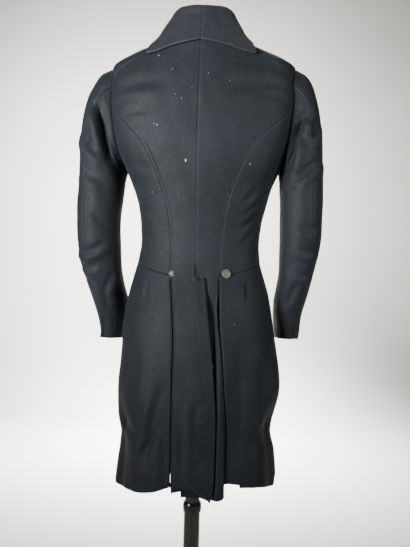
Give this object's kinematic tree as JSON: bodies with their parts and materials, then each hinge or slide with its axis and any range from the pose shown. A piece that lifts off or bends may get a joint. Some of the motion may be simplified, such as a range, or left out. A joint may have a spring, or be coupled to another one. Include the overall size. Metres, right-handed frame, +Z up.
{
  "type": "white tie tailcoat on a limbless dress form",
  "caption": "Shawl-collared evening tailcoat with cut-away front and vented, pleated tails, worn by a smooth limbless dress form on a telescoping floor stand.",
  "frame": {"origin": "centre of the stand's round foot, on the floor", "axes": "+Z up along the pole, -Y the coat's front, +X the wearer's left"},
  "size_m": [0.5497, 0.38, 1.5797],
  "materials": {
    "coat_wool": "matt napped black wool broadcloth, faded grey",
    "collar_facing": "smooth black facing cloth, slightly worn",
    "button_cloth": "faded black cloth over a button mould",
    "form_jersey": "smooth ecru jersey, stretched",
    "pole_steel": "satin grey-brown lacquered steel",
    "ring_black": "glossy black",
    "foot_enamel": "satin black enamel on steel"
  },
  "bodies": {
    "stand": {"stand_foot": "foot_enamel", "stand_tube": "pole_steel", "stand_ring": "ring_black"},
    "form": {"mast": "pole_steel", "form_torso": "form_jersey", "back_left": "coat_wool", "back_right": "coat_wool", "side_left": "coat_wool", "side_right": "coat_wool", "front_left": "coat_wool", "front_right": "coat_wool", "skirt_left": "coat_wool", "skirt_right": "coat_wool", "topsleeve_left": "coat_wool", "topsleeve_right": "coat_wool", "undersleeve_left": "coat_wool", "undersleeve_right": "coat_wool", "shawl_left": "collar_facing", "shawl_right": "collar_facing", "hip_button_right": "button_cloth"}
  },
  "joints": [
    {"name": "height", "type": "slide", "parent": "stand", "child": "form", "axis": [0, 0, 1], "range_m": [-0.1, 0.15]}
  ]
}
